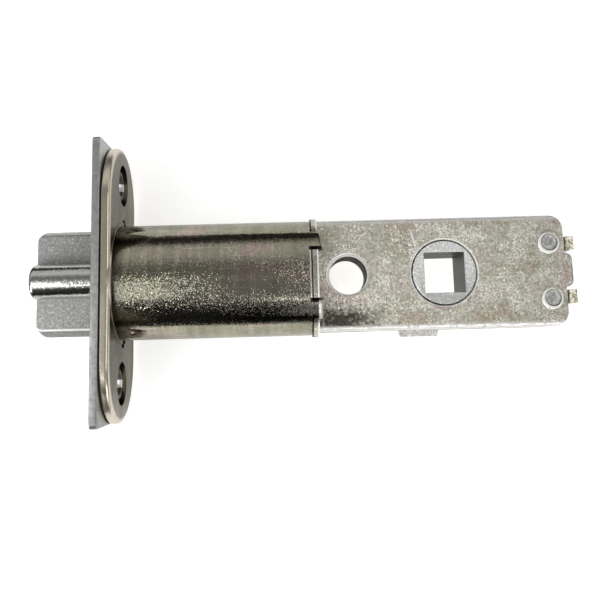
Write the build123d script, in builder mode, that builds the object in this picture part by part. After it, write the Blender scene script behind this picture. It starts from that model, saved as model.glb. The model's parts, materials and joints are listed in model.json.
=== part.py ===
"""Tubular deadlatch for a door: faceplate, barrel, flat lock case, bolt, deadlatch plunger and hub.

Millimetres. The origin is the centre of the faceplate's front face, on the bolt's axis.
+X goes into the door, +Y to the side that the bolt's bevel is on, +Z up.
"""
import os
from math import atan2, cos, degrees, radians, sin

from build123d import *

os.makedirs("parts", exist_ok=True)

# Faceplate and backplate: a 57.15 x 25.4 mm door-edge plate
FACE_H = 57.15
FACE_W = 25.4
FACE_T = 1.6
FACE_CORNER = 1.2
SCREW_SPACING = 41.3
SCREW_R = 2.2
CSK_R = 4.1
CSK_ANGLE = 82
DIMPLE_R = 4.0
DIMPLE_UP = 1.6
DIMPLE_END = 1.0
BACK_T = 2.1
BACK_SHEET = 1.1
BACK_HOLE_R = 4.4
GROOVE = 0.3
GROOVE_IN = 0.6
BACK_ROUND = 0.8
COLLAR_UP = 0.25
COLLAR_ROUND = 0.2
SLOT_AT = 0.6
SLOT_W = 2.2
SLOT_OUT = 1.5
EDGE_ROLL = 0.25

# Clearances
RUN = 0.2
SEAT = 0.05

# Barrel
BARREL_INSET = 0.85
BARREL_WALL = 0.75
BARREL_END = 43.0
FINGER_AT = 37.0
FINGER_HALF = 10.0
FINGER_TIP = 0.75
FINGER_BEND = 1.0
FINGER_ROUND = 0.65
NOTCH_MARGIN = 4.0
LUG_W = 6.0
LUG_OUT = 1.8
DISC_LIP = 0.45
DISC_T = 1.4

# Lock case
BACKSET = 69.85
CASE_H = 22.5
CASE_NEAR = -6.0
CASE_FAR = 6.0
BODY_SHEET = 1.0
COVER_SHEET = 1.5
CASE_REAR = 94.2
CASE_BEND = 1.2
CASE_CORNER = 3.0
TONGUE_HALF = 3.4
TAB_LOW = 4.0
TAB_HIGH = 6.75
TAB_GAP = 0.5
TAB_PROUD = 0.1
FRONT_TAB = 5.0
TAB_ROOT = 1.0
TONGUE_SHORT = 0.3
TONGUE_ROUND = 1.3
TONGUE_BEND = 0.8
RIM_ROUND = 0.5
RIVET_X = 91.3
RIVET_Z = 5.6
RIVET_R = 1.75
RIVET_SHOULDER = 0.6
RIVET_SUNK = 0.12
STAKE_W = 0.6
STAKE_UP = 0.25
THROUGH_X = 50.5
THROUGH_R = 3.85
THROUGH_WALL = 0.95

# Hub and its square for the spindle
HUB_R = 6.35
HUB_SQUARE = 8.1
HUB_PROUD = 0.1
HUB_EDGE = 0.12
HUB_RUN = 0.3
HUB_SIDE = 0.15
ARM_R = 9.9
ARM_LEAN = 40.0
ARM_WIDTH = 26.0

# Bolt
THROW = 12.7
BOLT_LAND = 0.4
BOLT_HEEL = -1.4
BOLT_REAR = 10.0
BOLT_STEP = 2.2
BOLT_TUCK = 1.7
BOLT_STOP = 0.3
NOSE_ROUND = 2.5
NOSE_ARC = 1.2
NOSE_EDGE = 0.4

# Fork that draws the bolt back
FORK_HALF = 1.1
FORK_ARM = 2.4
FORK_BAR = 4.0
FORK_PIN_IN = 3.0
FORK_PIN_R = 1.5
FORK_PIN_SHORT = 0.4
JOG_START = 1.6
JOG_END = 5.6
ARM_GAP = 0.55
HUB_GAP = 0.35
PIN_R = 1.0
PIN_BACK = 5.03
FOOT_X0 = 60.8
FOOT_X1 = 68.8
FOOT_DOWN = 1.35
FOOT_PLAY = 0.4
FOOT_ROUND = 0.6
CATCH_X0 = 20.4
CATCH_X1 = 22.4
CATCH_SHORT = 0.4

# Deadlatch plunger
PLUNGER_R = 3.5
PLUNGER_GAP = 0.6
PLUNGER_FLAT = 1.65
PLUNGER_SLIDE = 0.15
PLUNGER_ROUND = 0.9
STOP_LONG = 3.0
STOP_DEEP = 2.8
STOP_OUT = 1.0
PLUNGER_NOSE = -12.9
PLUNGER_REAR = 26.3
PLUNGER_TRAVEL = 12.0
RAMP_RISE = 1.3
RAMP_RUN_IN = 2.0
BORE_OFF = 0.7

# Springs
COIL_END = 0.6
BOLT_WIRE_R = 0.5
BOLT_COIL_TURNS = 8
PLUNGER_BORE_X = 8.0
PLUNGER_BORE_R = 1.6
PLUNGER_COIL_R = 1.15
PLUNGER_WIRE_R = 0.25
PLUNGER_COIL_TURNS = 12

# Deadlock lever
LEVER_OUT = 0.7
LEVER_IN = 1.1
LEVER_HALF = 0.85
LEVER_BOSS_R = 1.6
NOSE_GAP = 0.5
NOSE_LONG = 2.7
NOSE_SLOPE = 1.4
NOSE_RISE = 0.6
TOE_GAP = 0.25
TOE_ROUND = 0.9
PIVOT_BACK = 2.5
PIVOT_DOWN = 1.25
PIVOT_R = 0.85
EAR_LONG = 4.2
EAR_TALL = 3.5
EAR_T = 0.9
EAR_NEAR_GAP = 0.4
EAR_FAR_GAP = 0.7
LEAF_T = 0.3
LEAF_UP = 2.9
LEAF_LONG = 3.6

# Sizes that follow from the others
back_x = FACE_T + BACK_T
pan_x = back_x - BACK_SHEET
dimple_taper = degrees(atan2(DIMPLE_END, DIMPLE_UP))
disc_back = BARREL_END + DISC_T
barrel_r = FACE_W / 2 - BARREL_INSET
bore_r = barrel_r - BARREL_WALL
disc_r = barrel_r + DISC_LIP
inner_near = CASE_NEAR + BODY_SHEET
inner_far = CASE_FAR - COVER_SHEET
inner_z = CASE_H / 2 - BODY_SHEET
wall_x0 = CASE_REAR + TAB_GAP
wall_x1 = wall_x0 + COVER_SHEET
case_l = CASE_REAR - disc_back
tab_z = (TAB_LOW + TAB_HIGH) / 2
tongue_l = wall_x1 - TONGUE_SHORT - CASE_REAR + TAB_ROOT
plunger_y = PLUNGER_R + PLUNGER_GAP - bore_r
plunger_flat = plunger_y + PLUNGER_FLAT
spring_y = plunger_y - BORE_OFF
bolt_r = bore_r - RUN
bolt_near = plunger_flat + PLUNGER_SLIDE
bolt_shoulder = bolt_r - BOLT_TUCK
bolt_far = bolt_shoulder - BOLT_STEP
fork_out = bore_r * 2 / 3
fork_in = fork_out - FORK_ARM
fork_pin_x = FORK_BAR + FORK_PIN_IN
pin_x = BACKSET - PIN_BACK
arm_in = HUB_R + HUB_GAP
arm_out = inner_z - ARM_GAP
pin_z = (arm_in + arm_out) / 2
foot_z = -CASE_H / 2 - FOOT_DOWN
lever_y0 = plunger_y - LEVER_OUT
lever_y1 = plunger_y + LEVER_IN
pivot_x = BARREL_END - PIVOT_BACK
pivot_z = fork_in - PIVOT_DOWN
ramp_low = pivot_z - LEVER_HALF - LEVER_OUT
ramp_high = ramp_low + RAMP_RISE
nose_x = CATCH_X1 + NOSE_GAP
ear_near = lever_y0 - EAR_NEAR_GAP
ear_far = lever_y1 + EAR_FAR_GAP + EAR_T
bolt_coil_r = -ear_far - RUN - BOLT_WIRE_R


def wedge(middle, half, reach):
    """Corners of a wedge in a YZ sketch; the angle is counted from the near side, -Y, up to +Z."""
    a = radians(middle - half)
    b = radians(middle + half)
    return [(0, 0), (-reach * cos(a), reach * sin(a)), (-reach * cos(b), reach * sin(b))]


finger_angles = [FINGER_AT, -FINGER_AT, 180 - FINGER_AT, 180 + FINGER_AT]

# Faceplate: square-cornered plate with a window for bolt and plunger and two dimpled screw holes
with BuildPart() as faceplate:
    with BuildSketch(Plane.YZ):
        RectangleRounded(FACE_W, FACE_H, FACE_CORNER)
    extrude(amount=FACE_T)
    fillet(faceplate.edges().group_by(Axis.X)[0], EDGE_ROLL)
    fillet(faceplate.edges().group_by(Axis.X)[-1], EDGE_ROLL)
    with BuildSketch(Plane.YZ):
        Circle(bolt_r + RUN)
        with Locations(((bolt_near + bolt_far) / 2, 0)):
            Rectangle(bolt_far - bolt_near + 2 * RUN, FACE_H, mode=Mode.INTERSECT)
        with Locations((plunger_y, 0)):
            Circle(PLUNGER_R + RUN)
    extrude(amount=FACE_T, mode=Mode.SUBTRACT)
    with BuildSketch(Plane.YZ.offset(FACE_T)):
        with Locations((0, SCREW_SPACING / 2), (0, -SCREW_SPACING / 2)):
            Circle(DIMPLE_R)
    extrude(amount=DIMPLE_UP, taper=dimple_taper)
    with Locations(
        Plane((0, 0, SCREW_SPACING / 2), x_dir=(0, 1, 0), z_dir=(-1, 0, 0)),
        Plane((0, 0, -SCREW_SPACING / 2), x_dir=(0, 1, 0), z_dir=(-1, 0, 0)),
    ):
        CounterSinkHole(SCREW_R, CSK_R, depth=FACE_T + DIMPLE_UP, counter_sink_angle=CSK_ANGLE)
faceplate.part.label = "faceplate"
export_step(faceplate.part, "parts/faceplate.step")

# Backplate: drawn pan with round ends, open to the front, with a raised collar round the barrel
with BuildPart() as backplate:
    with BuildSketch(Plane.YZ.offset(FACE_T + GROOVE)):
        SlotOverall(FACE_H, FACE_W, rotation=90)
    extrude(amount=BACK_T - GROOVE)
    fillet(backplate.edges().group_by(Axis.X)[-1], BACK_ROUND)
    fillet(backplate.edges().group_by(Axis.X)[0], EDGE_ROLL)
    with BuildSketch(Plane.YZ.offset(FACE_T)):
        SlotOverall(FACE_H - 2 * GROOVE_IN, FACE_W - 2 * GROOVE_IN, rotation=90)
    extrude(amount=2 * GROOVE)
    with BuildSketch(Plane.YZ.offset(back_x - BACK_ROUND)):
        Circle(FACE_W / 2)
    extrude(amount=BACK_ROUND + COLLAR_UP)
    fillet(backplate.edges().group_by(Axis.X)[-1], COLLAR_ROUND)
    with BuildSketch(Plane.YZ.offset(FACE_T)):
        SlotOverall(FACE_H - 2 * BACK_SHEET, FACE_W - 2 * BACK_SHEET, rotation=90)
    extrude(amount=BACK_T - BACK_SHEET, mode=Mode.SUBTRACT)
    with BuildSketch(Plane.YZ.offset(FACE_T)):
        Circle(barrel_r + SEAT)
        with Locations((0, SCREW_SPACING / 2), (0, -SCREW_SPACING / 2)):
            Circle(BACK_HOLE_R)
        with Locations((SLOT_AT, barrel_r), (SLOT_AT, -barrel_r)):
            Rectangle(SLOT_W, 2 * SLOT_OUT)
    extrude(amount=2 * BACK_T, mode=Mode.SUBTRACT)
backplate.part.label = "backplate"
export_step(backplate.part, "parts/backplate.step")

# Barrel: thin tube, held in front by two lugs turned out in the pan, behind by four fingers bent in
with BuildPart() as barrel:
    with BuildSketch(Plane.YZ.offset(pan_x)):
        Circle(barrel_r)
        Circle(bore_r, mode=Mode.SUBTRACT)
    extrude(amount=BARREL_END - pan_x)
    with BuildSketch(Plane.YZ.offset(pan_x - BARREL_WALL)):
        Rectangle(LUG_W, 2 * (barrel_r + LUG_OUT))
        Circle(bore_r, mode=Mode.SUBTRACT)
    extrude(amount=BARREL_WALL - SEAT)
    with BuildSketch(Plane.YZ.offset(pan_x - BARREL_WALL)):
        Rectangle(LUG_W, 4 * barrel_r)
        Circle(barrel_r, mode=Mode.INTERSECT)
        Circle(bore_r, mode=Mode.SUBTRACT)
    extrude(amount=BARREL_WALL)
    with BuildSketch(Plane.YZ.offset(BARREL_END)):
        for angle in finger_angles:
            Polygon(*wedge(angle, FINGER_HALF, 2 * barrel_r), align=None)
        Circle(barrel_r, mode=Mode.INTERSECT)
        Circle(bore_r, mode=Mode.SUBTRACT)
    extrude(amount=DISC_T + FINGER_TIP)
    with BuildSketch(Plane.YZ.offset(disc_back + SEAT)):
        for angle in finger_angles:
            Polygon(*wedge(angle, FINGER_HALF, 2 * barrel_r), align=None)
        Circle(barrel_r, mode=Mode.INTERSECT)
        Circle(bore_r - FINGER_BEND, mode=Mode.SUBTRACT)
    extrude(amount=FINGER_TIP - SEAT)
    tips = barrel.edges().group_by(Axis.X)[-1].filter_by(GeomType.CIRCLE).group_by(SortBy.RADIUS)[-1]
    fillet(tips, FINGER_ROUND)
barrel.part.label = "barrel"
export_step(barrel.part, "parts/barrel.step")

# End plate: notched disc that closes the barrel, seats the springs and carries the lever's two ears
with BuildPart() as end_plate:
    with BuildSketch(Plane.YZ.offset(BARREL_END)):
        Circle(disc_r)
        for angle in finger_angles:
            Polygon(*wedge(angle, FINGER_HALF + NOTCH_MARGIN, 2 * barrel_r), align=None, mode=Mode.SUBTRACT)
        Circle(bore_r - 2 * SEAT)
        for side in (1, -1):
            with Locations((0, side * (fork_in - RUN + disc_r / 2))):
                Rectangle(2 * (FORK_HALF + RUN), disc_r, mode=Mode.SUBTRACT)
        with Locations(((CASE_NEAR + inner_near) / 2, 0)):
            Rectangle(BODY_SHEET + 2 * SEAT, FRONT_TAB + 2 * SEAT, mode=Mode.SUBTRACT)
        with Locations(((CASE_FAR + inner_far) / 2, 0)):
            Rectangle(COVER_SHEET + 2 * SEAT, FRONT_TAB + 2 * SEAT, mode=Mode.SUBTRACT)
    extrude(amount=DISC_T)
    for ear_y in (ear_near, ear_far):
        with BuildSketch(Plane.XZ.offset(-ear_y)):
            with Locations((BARREL_END, pivot_z)):
                Rectangle(EAR_LONG, EAR_TALL, align=(Align.MAX, Align.CENTER))
            with Locations((pivot_x, pivot_z)):
                Circle(PIVOT_R + SEAT, mode=Mode.SUBTRACT)
        extrude(amount=EAR_T)
end_plate.part.label = "barrel_end_plate"
export_step(end_plate.part, "parts/barrel_end_plate.step")

# Case body: channel with top and bottom walls, a bent rear tongue and a slot for the fork's foot
with BuildPart() as case_body:
    with BuildSketch(Plane.YZ.offset(disc_back)):
        with Locations((CASE_NEAR, 0)):
            Rectangle(inner_far - CASE_NEAR, CASE_H, align=(Align.MIN, Align.CENTER))
    extrude(amount=CASE_REAR - disc_back)
    fillet(case_body.edges().filter_by(Axis.X).group_by(Axis.Y)[0], CASE_BEND)
    with BuildSketch(Plane.YZ.offset(disc_back)):
        with Locations((inner_near, 0)):
            Rectangle(CASE_FAR - inner_near, 2 * inner_z, align=(Align.MIN, Align.CENTER))
    extrude(amount=CASE_REAR - disc_back, mode=Mode.SUBTRACT)
    with BuildSketch(Plane.XZ.offset(-CASE_FAR)):
        with Locations((disc_back, 0)):
            RectangleRounded(2 * case_l, CASE_H, CASE_CORNER)
    extrude(amount=CASE_FAR - CASE_NEAR, mode=Mode.INTERSECT)
    with BuildSketch(Plane.XZ.offset(-inner_near)):
        with Locations((wall_x1 - TONGUE_SHORT, 0)):
            Rectangle(tongue_l, 2 * TONGUE_HALF, align=(Align.MAX, Align.CENTER))
        with Locations((BARREL_END, 0)):
            Rectangle(DISC_T + TAB_ROOT, FRONT_TAB, align=(Align.MIN, Align.CENTER))
    extrude(amount=BODY_SHEET)
    with BuildSketch(Plane.YZ.offset(wall_x1 - TONGUE_SHORT - BODY_SHEET)):
        with Locations((inner_near, 0)):
            Rectangle(inner_far - inner_near - SEAT, 2 * TONGUE_HALF, align=(Align.MIN, Align.CENTER))
    extrude(amount=BODY_SHEET)
    fillet(case_body.edges().filter_by(Axis.Y).group_by(Axis.X)[-1], TONGUE_ROUND)
    fillet(case_body.edges().group_by(Axis.X)[-1].filter_by(Axis.Z).group_by(Axis.Y)[0], TONGUE_BEND)
    with BuildSketch(Plane.XZ.offset(-CASE_NEAR)):
        with Locations((RIVET_X, RIVET_Z), (RIVET_X, -RIVET_Z)):
            Circle(RIVET_R + STAKE_W)
    extrude(amount=STAKE_UP)
    fillet(case_body.edges().group_by(Axis.Y)[0], STAKE_UP * 0.9)
    with BuildSketch(Plane.XZ.offset(-inner_near)):
        with Locations((BACKSET, 0)):
            Circle(HUB_R + HUB_RUN)
        with Locations((THROUGH_X, 0)):
            Circle(THROUGH_R + RUN)
        with Locations((RIVET_X, RIVET_Z), (RIVET_X, -RIVET_Z)):
            Circle(RIVET_R)
    extrude(amount=BODY_SHEET + STAKE_UP, mode=Mode.SUBTRACT)
    fillet(case_body.edges(Select.LAST).filter_by(GeomType.CIRCLE).group_by(Axis.Y)[1], RIM_ROUND)
    with BuildSketch(Plane.XY.offset(-CASE_H / 2)):
        with Locations(((FOOT_X0 + FOOT_X1 + THROW) / 2, 0)):
            Rectangle(FOOT_X1 - FOOT_X0 + THROW + 2 * FOOT_PLAY, 2 * (FORK_HALF + RUN))
    extrude(amount=BODY_SHEET, mode=Mode.SUBTRACT)
case_body.part.label = "case_body"
export_step(case_body.part, "parts/case_body.step")

# Case cover: far side plate with two rear tabs bent up beside the tongue of the body
with BuildPart() as case_cover:
    with BuildSketch(Plane.XZ.offset(-CASE_FAR)):
        with Locations((disc_back, 0)):
            RectangleRounded(2 * case_l, CASE_H, CASE_CORNER)
            Rectangle(2 * case_l, CASE_H, align=(Align.MIN, Align.CENTER), mode=Mode.INTERSECT)
        with Locations((wall_x1, tab_z), (wall_x1, -tab_z)):
            Rectangle(2 * COVER_SHEET + TAB_GAP, TAB_HIGH - TAB_LOW, align=(Align.MAX, Align.CENTER))
        with Locations((BARREL_END, 0)):
            Rectangle(DISC_T + TAB_ROOT, FRONT_TAB, align=(Align.MIN, Align.CENTER))
        with Locations((BACKSET, 0)):
            Circle(HUB_R + HUB_RUN, mode=Mode.SUBTRACT)
        with Locations((THROUGH_X, 0)):
            Circle(THROUGH_R + RUN, mode=Mode.SUBTRACT)
        with Locations((RIVET_X, RIVET_Z), (RIVET_X, -RIVET_Z)):
            Circle(RIVET_R, mode=Mode.SUBTRACT)
    extrude(amount=COVER_SHEET)
    with BuildSketch(Plane.YZ.offset(wall_x0)):
        with Locations((CASE_FAR, tab_z), (CASE_FAR, -tab_z)):
            Rectangle(CASE_FAR - CASE_NEAR + TAB_PROUD, TAB_HIGH - TAB_LOW, align=(Align.MAX, Align.CENTER))
    extrude(amount=COVER_SHEET)
    fillet(case_cover.edges().filter_by(Axis.Z).group_by(Axis.X)[-1].group_by(Axis.Y)[-1], COVER_SHEET)
case_cover.part.label = "case_cover"
export_step(case_cover.part, "parts/case_cover.step")

# Rear rivets: shouldered pins that space the two sides and are spread in them
for name, rivet_z in (("upper_rear_rivet", RIVET_Z), ("lower_rear_rivet", -RIVET_Z)):
    with BuildPart() as rivet:
        with BuildSketch(Plane.XZ.offset(-CASE_FAR)):
            with Locations((RIVET_X, rivet_z)):
                Circle(RIVET_R - SEAT / 2)
        extrude(amount=CASE_FAR - CASE_NEAR - RIVET_SUNK)
        fillet(rivet.edges().group_by(Axis.Y)[0], EDGE_ROLL)
        with BuildSketch(Plane.XZ.offset(-inner_far)):
            with Locations((RIVET_X, rivet_z)):
                Circle(RIVET_R + RIVET_SHOULDER)
        extrude(amount=inner_far - inner_near)
    rivet.part.label = name
    export_step(rivet.part, f"parts/{name}.step")

# Through sleeve: keeps the two sides apart where a handle's bolt passes through the case
with BuildPart() as through_sleeve:
    with BuildSketch(Plane.XZ.offset(-inner_far)):
        with Locations((THROUGH_X, 0)):
            Circle(THROUGH_R + THROUGH_WALL)
            Circle(THROUGH_R, mode=Mode.SUBTRACT)
    extrude(amount=inner_far - inner_near)
through_sleeve.part.label = "through_sleeve"
export_step(through_sleeve.part, "parts/through_sleeve.step")

# Hub: round core with the square spindle hole; its two pairs of arms straddle the fork
with BuildPart() as hub:
    with BuildSketch(Plane.XZ):
        with Locations((BACKSET, 0)):
            Circle(HUB_R)
    extrude(amount=CASE_FAR + HUB_PROUD, both=True)
    chamfer(hub.edges().filter_by(GeomType.CIRCLE), HUB_EDGE)
    with BuildSketch(Plane.XZ.offset(HUB_SIDE - inner_far)):
        for side in (1, -1):
            with BuildLine():
                face = radians(ARM_LEAN)
                back = radians(ARM_LEAN + ARM_WIDTH)
                middle = (face + back) / 2
                tip_a = (BACKSET - ARM_R * sin(face), side * ARM_R * cos(face))
                tip_m = (BACKSET - ARM_R * sin(middle), side * ARM_R * cos(middle))
                tip_b = (BACKSET - ARM_R * sin(back), side * ARM_R * cos(back))
                Line((BACKSET, 0), tip_a)
                ThreePointArc(tip_a, tip_m, tip_b)
                Line(tip_b, (BACKSET, 0))
            make_face()
    extrude(amount=2 * (inner_far - HUB_SIDE))
    with BuildSketch(Plane.XZ):
        with Locations((BACKSET, 0)):
            Circle(2 * ARM_R)
            Circle(HUB_R, mode=Mode.SUBTRACT)
    extrude(amount=FORK_HALF + HUB_SIDE, both=True, mode=Mode.SUBTRACT)
    with BuildSketch(Plane.XZ):
        with Locations((BACKSET, 0)):
            Rectangle(HUB_SQUARE, HUB_SQUARE)
    extrude(amount=2 * CASE_FAR, both=True, mode=Mode.SUBTRACT)
hub.part.label = "hub"
export_step(hub.part, "parts/hub.step")

# Latch bolt: casting, flat on the near side, bevelled on the far side, stopped by a shoulder
with BuildPart() as latch_bolt:
    with BuildSketch(Plane.XY):
        with BuildLine():
            Polyline(
                (-THROW, bolt_near),
                (-THROW, BOLT_LAND),
                (BOLT_HEEL, bolt_far),
                (FACE_T + BOLT_STOP, bolt_far),
                (FACE_T + BOLT_STOP, bolt_shoulder),
                (BOLT_REAR, bolt_shoulder),
                (BOLT_REAR, bolt_near),
                close=True,
            )
        make_face()
    extrude(amount=2 * bolt_r, both=True)
    with BuildSketch(Plane.YZ.offset(-2 * THROW)):
        Circle(bolt_r)
    extrude(amount=4 * THROW, mode=Mode.INTERSECT)
    nose_edges = latch_bolt.edges().filter_by(Axis.Z).group_by(Axis.X)[0].sort_by(Axis.Y)
    fillet(nose_edges[-1], NOSE_ROUND)
    fillet(latch_bolt.faces().sort_by(Axis.X)[0].edges().filter_by(GeomType.CIRCLE), NOSE_ARC)
    fillet(latch_bolt.faces().sort_by(Axis.X)[0].edges().sort_by(Axis.Y)[0], NOSE_EDGE)
    with BuildSketch(Plane.XZ):
        with Locations((BOLT_REAR, 0)):
            Rectangle(BOLT_REAR - FORK_BAR + RUN, 2 * fork_out + RUN, align=(Align.MAX, Align.CENTER))
    extrude(amount=FORK_HALF + SEAT, both=True, mode=Mode.SUBTRACT)
    with BuildSketch(Plane.XZ):
        with Locations((fork_pin_x, 0)):
            Circle(FORK_PIN_R)
    extrude(amount=4 * bolt_r, both=True, mode=Mode.SUBTRACT)
latch_bolt.part.label = "latch_bolt"
export_step(latch_bolt.part, "parts/latch_bolt.step")

# Retractor fork: casting with two arms that pass the spring, the sleeve and the hub, a catch and a foot
with BuildPart() as fork:
    with BuildSketch(Plane.XZ):
        with BuildLine():
            Polyline(
                (FORK_BAR, -fork_out),
                (FORK_BAR, fork_out),
                (disc_back + JOG_START, fork_out),
                (disc_back + JOG_END, arm_out),
                (pin_x, arm_out),
                (pin_x, arm_in),
                (disc_back + JOG_END, arm_in),
                (disc_back + JOG_START, fork_in),
                (BOLT_REAR - RUN, fork_in),
                (BOLT_REAR - RUN, -fork_in),
                (disc_back + JOG_START, -fork_in),
                (disc_back + JOG_END, -arm_in),
                (pin_x, -arm_in),
                (pin_x, -arm_out),
                (disc_back + JOG_END, -arm_out),
                (disc_back + JOG_START, -fork_out),
                close=True,
            )
        make_face()
        with Locations((pin_x, pin_z), (pin_x, -pin_z)):
            Circle((arm_out - arm_in) / 2)
        with Locations((FOOT_X0, foot_z)):
            Rectangle(FOOT_X1 - FOOT_X0, -foot_z - arm_in, align=(Align.MIN, Align.MIN))
        with Locations((pin_x, pin_z), (pin_x, -pin_z)):
            Circle(PIN_R, mode=Mode.SUBTRACT)
        with Locations((fork_pin_x, 0)):
            Circle(FORK_PIN_R, mode=Mode.SUBTRACT)
    extrude(amount=FORK_HALF, both=True)
    fillet(fork.edges().filter_by(Axis.Y).group_by(Axis.Z)[0], FOOT_ROUND)
    with BuildSketch(Plane.XZ.offset(FORK_HALF)):
        with Locations((CATCH_X0, fork_out)):
            Rectangle(CATCH_X1 - CATCH_X0, FORK_ARM - CATCH_SHORT, align=(Align.MIN, Align.MAX))
    extrude(amount=-lever_y0 - FORK_HALF)
fork.part.label = "retractor_fork"
export_step(fork.part, "parts/retractor_fork.step")

# Fork pin: holds the fork's crossbar in the bolt
with BuildPart() as fork_pin:
    with BuildSketch(Plane.XZ.offset(FORK_PIN_SHORT - bolt_shoulder)):
        with Locations((fork_pin_x, 0)):
            Circle(FORK_PIN_R)
    extrude(amount=bolt_shoulder - FORK_PIN_SHORT - bolt_near - 2 * SEAT)
fork_pin.part.label = "fork_pin"
export_step(fork_pin.part, "parts/fork_pin.step")

# Drive pins: dowels through the ends of the fork's arms, which the hub's arms push
for name, drive_z in (("upper_drive_pin", pin_z), ("lower_drive_pin", -pin_z)):
    with BuildPart() as drive_pin:
        with BuildSketch(Plane.XZ):
            with Locations((pin_x, drive_z)):
                Circle(PIN_R)
        extrude(amount=inner_far - 2 * HUB_SIDE, both=True)
    drive_pin.part.label = name
    export_step(drive_pin.part, f"parts/{name}.step")

# Deadlatch plunger: pin with one flat, two stop ears, a ramp for the lever and a blind spring hole
with BuildPart() as plunger:
    with BuildSketch(Plane.YZ.offset(PLUNGER_NOSE)):
        with Locations((plunger_y, 0)):
            Circle(PLUNGER_R)
        with Locations((plunger_flat, 0)):
            Rectangle(4 * PLUNGER_R, 4 * PLUNGER_R, align=(Align.MAX, Align.CENTER), mode=Mode.INTERSECT)
    extrude(amount=PLUNGER_REAR - PLUNGER_NOSE)
    fillet(plunger.edges().group_by(Axis.X)[0], PLUNGER_ROUND)
    with BuildSketch(Plane.YZ.offset(FACE_T + BOLT_STOP)):
        with Locations((plunger_flat, 0)):
            Rectangle(STOP_DEEP, 2 * (PLUNGER_R + STOP_OUT), align=(Align.MAX, Align.CENTER))
    extrude(amount=STOP_LONG)
    with BuildSketch(Plane.XZ.offset(-plunger_flat)):
        with BuildLine():
            Polyline(
                (PLUNGER_REAR - PLUNGER_TRAVEL - RAMP_RUN_IN, ramp_high),
                (PLUNGER_REAR, ramp_low),
                (PLUNGER_REAR, 2 * PLUNGER_R),
                (PLUNGER_REAR - PLUNGER_TRAVEL - RAMP_RUN_IN, 2 * PLUNGER_R),
                close=True,
            )
        make_face()
    extrude(amount=3 * PLUNGER_R, mode=Mode.SUBTRACT)
    with BuildSketch(Plane.YZ.offset(PLUNGER_BORE_X)):
        with Locations((spring_y, 0)):
            Circle(PLUNGER_BORE_R)
    extrude(amount=PLUNGER_REAR, mode=Mode.SUBTRACT)
plunger.part.label = "deadlatch_plunger"
export_step(plunger.part, "parts/deadlatch_plunger.step")

# Deadlock lever: its foot rides on the plunger's ramp and its nose rises behind the fork's catch
with BuildPart() as lever:
    with BuildSketch(Plane.XZ.offset(-lever_y1)):
        with BuildLine():
            Polyline(
                (pivot_x, pivot_z + LEVER_HALF),
                (nose_x + NOSE_LONG + NOSE_SLOPE, pivot_z + LEVER_HALF),
                (nose_x + NOSE_LONG, pivot_z + LEVER_HALF + NOSE_RISE),
                (nose_x, pivot_z + LEVER_HALF + NOSE_RISE),
                (nose_x, ramp_low + TOE_GAP + TOE_ROUND / 2),
                (nose_x + TOE_ROUND, ramp_low + TOE_GAP),
                (nose_x + NOSE_LONG, ramp_low + TOE_GAP),
                (nose_x + NOSE_LONG + NOSE_SLOPE, pivot_z - LEVER_HALF),
                (pivot_x, pivot_z - LEVER_HALF),
                close=True,
            )
        make_face()
        with Locations((pivot_x, pivot_z)):
            Circle(LEVER_BOSS_R)
            Circle(PIVOT_R + SEAT, mode=Mode.SUBTRACT)
    extrude(amount=lever_y1 - lever_y0)
lever.part.label = "deadlock_lever"
export_step(lever.part, "parts/deadlock_lever.step")

# Pivot pin of the lever, in the end plate's ears
with BuildPart() as lever_pivot_pin:
    with BuildSketch(Plane.XZ.offset(-ear_far)):
        with Locations((pivot_x, pivot_z)):
            Circle(PIVOT_R)
    extrude(amount=ear_far - ear_near + EAR_T)
lever_pivot_pin.part.label = "lever_pivot_pin"
export_step(lever_pivot_pin.part, "parts/lever_pivot_pin.step")

# Lever spring: leaf from the end plate that presses the lever down on the ramp
with BuildPart() as lever_spring:
    with BuildSketch(Plane.XZ.offset(2 * SEAT - lever_y1)):
        with BuildLine():
            leaf = Polyline(
                (BARREL_END - LEAF_T / 2, pivot_z + LEAF_UP),
                (pivot_x, pivot_z + LEAF_UP - 2 * LEAF_T),
                (pivot_x - LEAF_LONG, pivot_z + LEVER_HALF + LEAF_T),
            )
            offset(leaf, LEAF_T / 2, side=Side.BOTH)
        make_face()
    extrude(amount=lever_y1 - lever_y0 - 4 * SEAT)
lever_spring.part.label = "lever_spring"
export_step(lever_spring.part, "parts/lever_spring.step")

# Bolt spring: compression coil on the bolt's axis, between the bolt and the end plate
with BuildPart() as bolt_spring:
    with BuildLine() as bolt_coil:
        Helix(
            pitch=(BARREL_END - BOLT_REAR - 2 * COIL_END) / BOLT_COIL_TURNS,
            height=BARREL_END - BOLT_REAR - 2 * COIL_END,
            radius=bolt_coil_r,
            center=(BOLT_REAR + COIL_END, 0, 0),
            direction=(1, 0, 0),
        )
    with BuildSketch(Plane(origin=bolt_coil.line @ 0, z_dir=bolt_coil.line % 0)):
        Circle(BOLT_WIRE_R)
    sweep(is_frenet=True)
bolt_spring.part.label = "bolt_spring"
export_step(bolt_spring.part, "parts/bolt_spring.step")

# Plunger spring: thin coil in the plunger's blind hole, against the end plate
with BuildPart() as plunger_spring:
    with BuildLine() as plunger_coil:
        Helix(
            pitch=(BARREL_END - PLUNGER_BORE_X - 2 * COIL_END) / PLUNGER_COIL_TURNS,
            height=BARREL_END - PLUNGER_BORE_X - 2 * COIL_END,
            radius=PLUNGER_COIL_R,
            center=(PLUNGER_BORE_X + COIL_END, spring_y, 0),
            direction=(1, 0, 0),
        )
    with BuildSketch(Plane(origin=plunger_coil.line @ 0, z_dir=plunger_coil.line % 0)):
        Circle(PLUNGER_WIRE_R)
    sweep(is_frenet=True)
plunger_spring.part.label = "plunger_spring"
export_step(plunger_spring.part, "parts/plunger_spring.step")
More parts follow.
